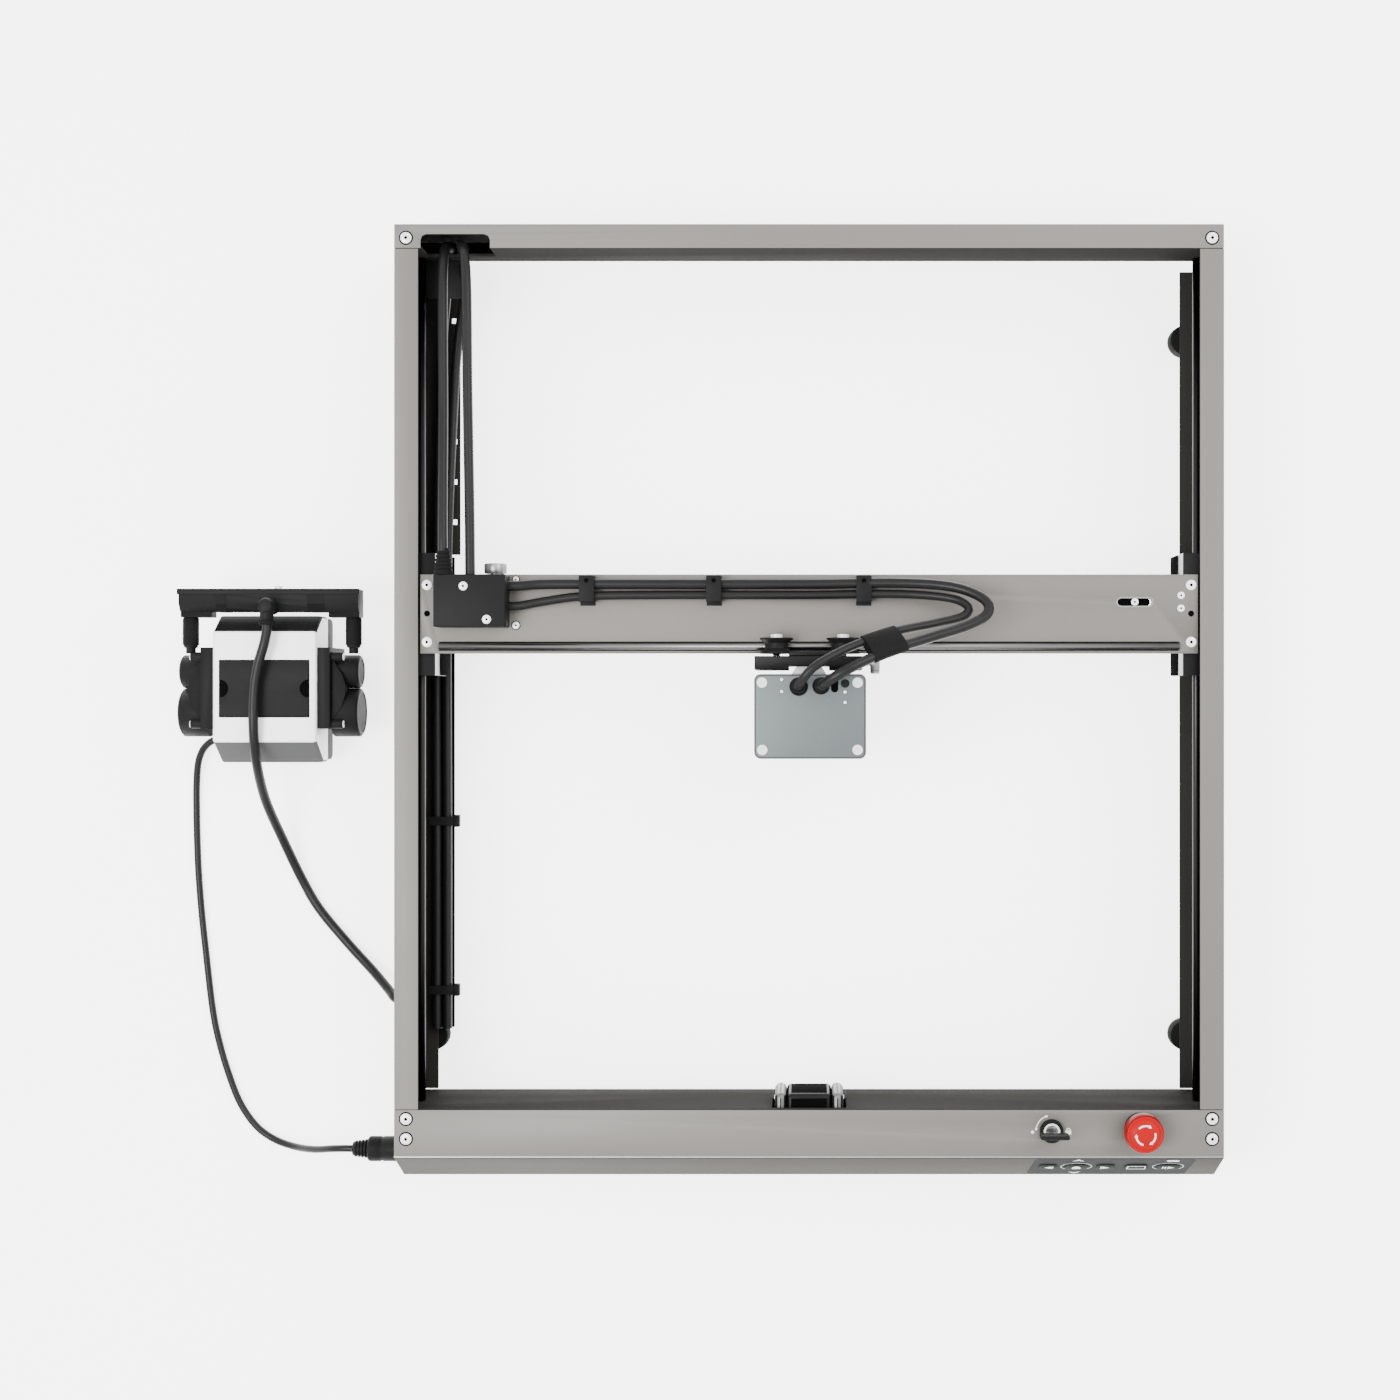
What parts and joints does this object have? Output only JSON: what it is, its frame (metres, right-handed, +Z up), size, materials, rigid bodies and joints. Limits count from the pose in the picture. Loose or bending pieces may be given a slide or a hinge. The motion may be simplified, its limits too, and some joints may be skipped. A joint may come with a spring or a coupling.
{
  "type": "desktop laser cutter",
  "caption": "Open-frame desktop laser cutter: rail frame, sliding gantry, laser head, control strip, and a separate air pump on a hose.",
  "frame": {"origin": "on the floor under the middle of the bounding box of the machine and its pump", "axes": "+X to the operator's right, along the gantry; +Y away from the operator; +Z up"},
  "size_m": [0.7442, 0.6686, 0.1594],
  "materials": {
    "frame_paint": "satin warm grey powder coat",
    "black_metal": "satin black",
    "steel": "bright ground steel",
    "silver": "satin anodised",
    "head_grey": "blue-grey anodised, satin",
    "black_plastic": "fine moulded texture",
    "white_plastic": "smooth white moulding",
    "red_plastic": "glossy red",
    "rubber": "matte",
    "cord": "satin black jacket",
    "shield": "tinted clear acrylic"
  },
  "bodies": {
    "frame": {"left_rail": "frame_paint", "right_rail": "frame_paint", "rear_rail": "frame_paint", "front_housing": "frame_paint", "front_base": "black_metal", "foot_rear_left": "rubber", "foot_rear_right": "rubber", "foot_front_left": "rubber", "foot_front_right": "rubber", "y_guide_left": "steel", "y_guide_right": "steel", "y_belt_left": "rubber", "y_belt_right": "rubber", "y_motor": "black_metal", "pump_socket": "black_plastic", "power_inlet": "black_plastic", "stop_collar": "black_plastic", "key_lock": "steel", "hose_port": "black_plastic", "lead_on_rail": "cord", "air_on_rail": "cord", "pump_base": "black_plastic", "pump_cover": "white_plastic", "pump_head_left": "black_plastic", "pump_head_right": "black_plastic", "air_manifold": "black_plastic", "air_hose": "cord", "pump_lead": "cord", "pump_plug": "black_plastic"},
    "y_shaft": {"y_drive_shaft": "steel"},
    "idler_left": {"y_idler_left": "silver"},
    "idler_right": {"y_idler_right": "silver"},
    "stop": {"stop_button": "red_plastic"},
    "key": {"switch_key": "black_plastic"},
    "back_push": {"back_key": "black_plastic"},
    "home_push": {"home_key": "black_plastic"},
    "forward_push": {"forward_key": "black_plastic"},
    "frame_push": {"frame_key": "black_plastic"},
    "start_push": {"start_key": "black_plastic"},
    "gantry": {"gantry_plate": "frame_paint", "x_guide": "steel", "gantry_bracket_left": "silver", "gantry_bracket_right": "silver", "x_motor": "black_metal", "junction_box": "black_plastic", "lead_to_gantry": "cord", "air_to_gantry": "cord", "lead_to_head": "cord", "air_to_head": "cord"},
    "wheel_lf": {"y_wheel_left_front": "black_plastic"},
    "wheel_lr": {"y_wheel_left_rear": "black_plastic"},
    "wheel_rf": {"y_wheel_right_front": "black_plastic"},
    "wheel_rr": {"y_wheel_right_rear": "black_plastic"},
    "carriage": {"head_carriage": "black_metal"},
    "wheel_xl": {"x_wheel_left": "black_plastic"},
    "wheel_xr": {"x_wheel_right": "black_plastic"},
    "laser": {"laser_body": "head_grey", "laser_shield": "shield"},
    "knob": {"height_knob": "steel"}
  },
  "joints": [
    {"name": "y_slide", "type": "slide", "parent": "frame", "child": "gantry", "axis": [0, 1, 0], "range_m": [-0.225, 0.18], "deforming": ["lead_to_gantry", "air_to_gantry"]},
    {"name": "x_slide", "type": "slide", "parent": "gantry", "child": "carriage", "axis": [1, 0, 0], "range_m": [-0.215, 0.2], "deforming": ["lead_to_head", "air_to_head"]},
    {"name": "height_slide", "type": "slide", "parent": "carriage", "child": "laser", "axis": [0, 0, 1], "range_m": [-0.012, 0.018]},
    {"name": "knob_turn", "type": "hinge", "parent": "carriage", "child": "knob", "pos_m": [0.1243, 0.029, 0.098], "axis": [1, 0, 0], "range_deg": [-180, 180]},
    {"name": "wheel_lf_spin", "type": "hinge", "parent": "gantry", "child": "wheel_lf", "pos_m": [-0.194, 0.033, 0.0706], "axis": [1, 0, 0], "continuous": true},
    {"name": "wheel_lr_spin", "type": "hinge", "parent": "gantry", "child": "wheel_lr", "pos_m": [-0.194, 0.094, 0.0706], "axis": [1, 0, 0], "continuous": true},
    {"name": "wheel_rf_spin", "type": "hinge", "parent": "gantry", "child": "wheel_rf", "pos_m": [0.357, 0.033, 0.0706], "axis": [1, 0, 0], "continuous": true},
    {"name": "wheel_rr_spin", "type": "hinge", "parent": "gantry", "child": "wheel_rr", "pos_m": [0.357, 0.094, 0.0706], "axis": [1, 0, 0], "continuous": true},
    {"name": "wheel_xl_spin", "type": "hinge", "parent": "carriage", "child": "wheel_xl", "pos_m": [0.059, 0.0409, 0.1008], "axis": [0, 1, 0], "continuous": true},
    {"name": "wheel_xr_spin", "type": "hinge", "parent": "carriage", "child": "wheel_xr", "pos_m": [0.105, 0.0409, 0.1008], "axis": [0, 1, 0], "continuous": true},
    {"name": "shaft_spin", "type": "hinge", "parent": "frame", "child": "y_shaft", "pos_m": [0.0815, -0.289, 0.061], "axis": [1, 0, 0], "continuous": true},
    {"name": "idler_left_spin", "type": "hinge", "parent": "frame", "child": "idler_left", "pos_m": [-0.202, 0.3, 0.061], "axis": [1, 0, 0], "continuous": true},
    {"name": "idler_right_spin", "type": "hinge", "parent": "frame", "child": "idler_right", "pos_m": [0.365, 0.3, 0.061], "axis": [1, 0, 0], "continuous": true},
    {"name": "stop_press", "type": "slide", "parent": "frame", "child": "stop", "axis": [0, 0, -1], "range_m": [0, 0.004], "stiffness_N_per_m": 400},
    {"name": "key_turn", "type": "hinge", "parent": "frame", "child": "key", "pos_m": [0.25, -0.296, 0.1], "axis": [0, 0, 1], "range_deg": [0, 90]},
    {"name": "back_press", "type": "slide", "parent": "frame", "child": "back_push", "axis": [0, 0.8675, -0.4975], "range_m": [0, 0.0003], "stiffness_N_per_m": 600},
    {"name": "home_press", "type": "slide", "parent": "frame", "child": "home_push", "axis": [0, 0.8675, -0.4975], "range_m": [0, 0.0003], "stiffness_N_per_m": 600},
    {"name": "forward_press", "type": "slide", "parent": "frame", "child": "forward_push", "axis": [0, 0.8675, -0.4975], "range_m": [0, 0.0003], "stiffness_N_per_m": 600},
    {"name": "frame_press", "type": "slide", "parent": "frame", "child": "frame_push", "axis": [0, 0.8675, -0.4975], "range_m": [0, 0.0003], "stiffness_N_per_m": 600},
    {"name": "start_press", "type": "slide", "parent": "frame", "child": "start_push", "axis": [0, 0.8675, -0.4975], "range_m": [0, 0.0003], "stiffness_N_per_m": 600}
  ],
  "couplings": [
    {"joint": "wheel_lf_spin", "follows": "y_slide", "rad_per_m": -136.99},
    {"joint": "wheel_lr_spin", "follows": "y_slide", "rad_per_m": -136.99},
    {"joint": "wheel_rf_spin", "follows": "y_slide", "rad_per_m": -136.99},
    {"joint": "wheel_rr_spin", "follows": "y_slide", "rad_per_m": -136.99},
    {"joint": "wheel_xl_spin", "follows": "x_slide", "rad_per_m": 125},
    {"joint": "wheel_xr_spin", "follows": "x_slide", "rad_per_m": 125},
    {"joint": "shaft_spin", "follows": "y_slide", "rad_per_m": -158.73},
    {"joint": "idler_left_spin", "follows": "y_slide", "rad_per_m": -158.73},
    {"joint": "idler_right_spin", "follows": "y_slide", "rad_per_m": -158.73}
  ]
}
